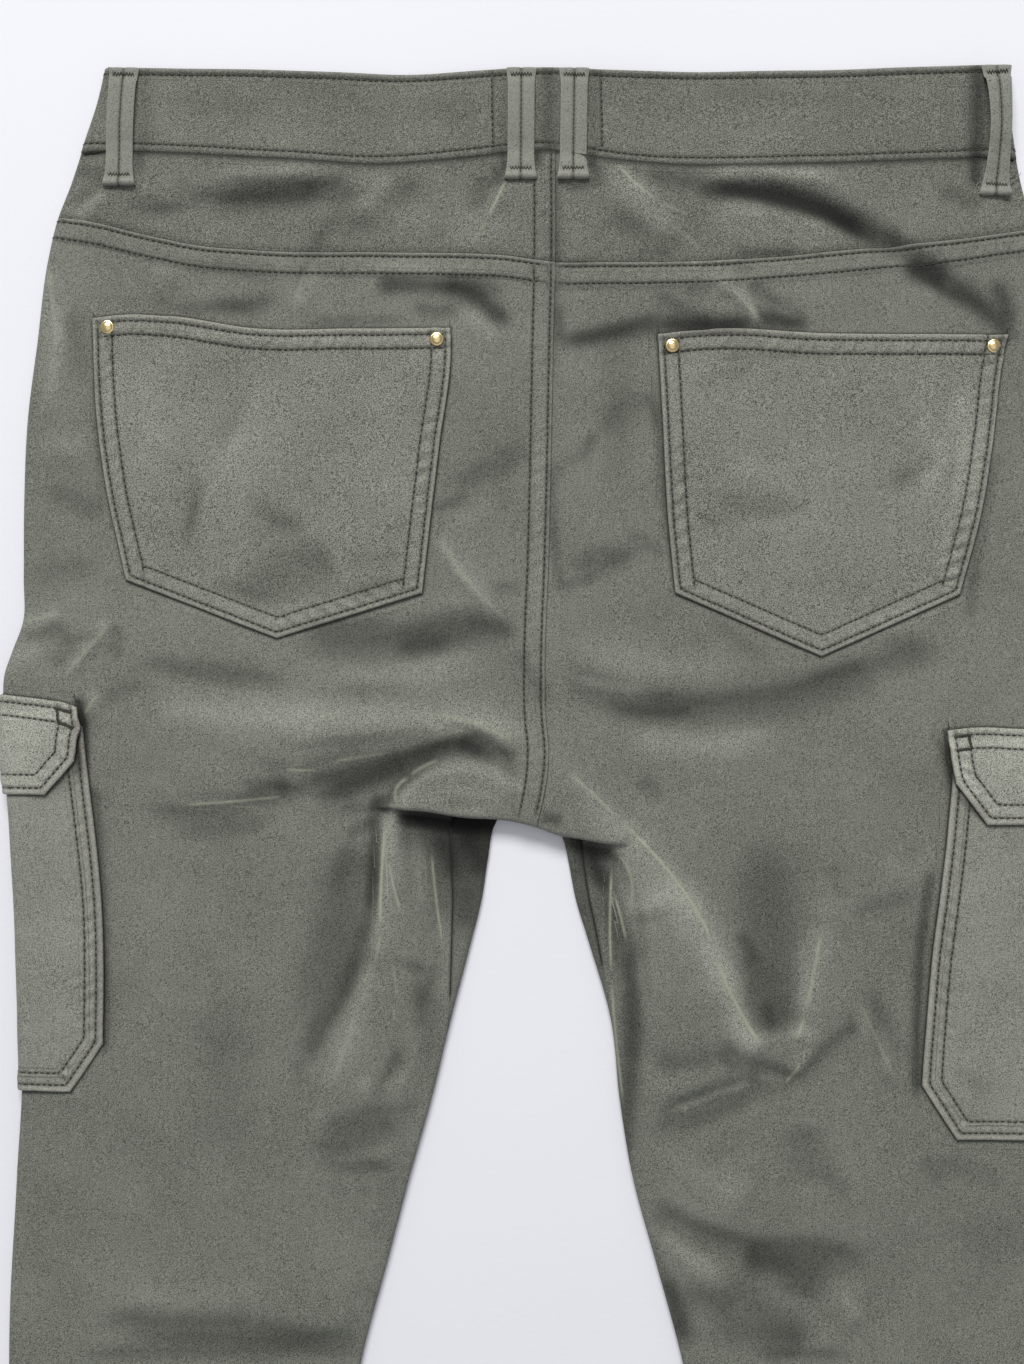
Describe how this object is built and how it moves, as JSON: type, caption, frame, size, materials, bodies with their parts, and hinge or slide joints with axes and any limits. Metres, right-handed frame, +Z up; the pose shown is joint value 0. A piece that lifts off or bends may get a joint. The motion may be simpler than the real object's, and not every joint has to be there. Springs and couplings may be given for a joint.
{
  "type": "cargo trousers",
  "caption": "Slim cargo trousers laid flat with the back side up, with waistband, yokes, pointed back pockets and flapped side pockets.",
  "frame": {"origin": "centre of the laid garment's footprint, on the surface that it lies on", "axes": "+X to the wearer's right, +Y from the hems up to the waistband, +Z up from the surface, which is the side that shows"},
  "size_m": [0.529, 1.0434, 0.011],
  "materials": {
    "back_left": "olive grey cotton sateen, slight sheen",
    "back_right": "olive grey cotton sateen, slight sheen",
    "front_left": "olive grey cotton sateen, slight sheen",
    "front_right": "olive grey cotton sateen, slight sheen",
    "yoke_left": "olive grey cotton sateen, slight sheen",
    "yoke_right": "olive grey cotton sateen, slight sheen",
    "waistband_back": "olive grey cotton sateen, slight sheen",
    "waistband_front_left": "olive grey cotton sateen, slight sheen",
    "waistband_front_right": "olive grey cotton sateen, slight sheen",
    "fly_shield": "olive grey cotton sateen, slight sheen",
    "back_pocket_left": "olive grey cotton sateen, slight sheen",
    "back_pocket_right": "olive grey cotton sateen, slight sheen",
    "cargo_pocket_left": "olive grey cotton sateen, slight sheen",
    "cargo_pocket_right": "olive grey cotton sateen, slight sheen",
    "cargo_flap_left": "olive grey cotton sateen, slight sheen",
    "cargo_flap_right": "olive grey cotton sateen, slight sheen",
    "loop_side_left": "olive grey cotton sateen, slight sheen",
    "loop_centre_left": "olive grey cotton sateen, slight sheen",
    "loop_centre_right": "olive grey cotton sateen, slight sheen",
    "loop_side_right": "olive grey cotton sateen, slight sheen",
    "waist_button": "satin",
    "rivet_left_outer": "satin",
    "rivet_left_inner": "satin",
    "rivet_right_inner": "satin",
    "rivet_right_outer": "satin"
  },
  "bodies": {
    "root": {"back_left": "back_left", "back_right": "back_right", "front_left": "front_left", "front_right": "front_right", "yoke_left": "yoke_left", "yoke_right": "yoke_right", "waistband_back": "waistband_back", "waistband_front_left": "waistband_front_left", "waistband_front_right": "waistband_front_right", "fly_shield": "fly_shield", "back_pocket_left": "back_pocket_left", "back_pocket_right": "back_pocket_right", "cargo_pocket_left": "cargo_pocket_left", "cargo_pocket_right": "cargo_pocket_right", "cargo_flap_left": "cargo_flap_left", "cargo_flap_right": "cargo_flap_right", "loop_side_left": "loop_side_left", "loop_centre_left": "loop_centre_left", "loop_centre_right": "loop_centre_right", "loop_side_right": "loop_side_right", "waist_button": "waist_button", "rivet_left_outer": "rivet_left_outer", "rivet_left_inner": "rivet_left_inner", "rivet_right_inner": "rivet_right_inner", "rivet_right_outer": "rivet_right_outer"}
  },
  "joints": []
}
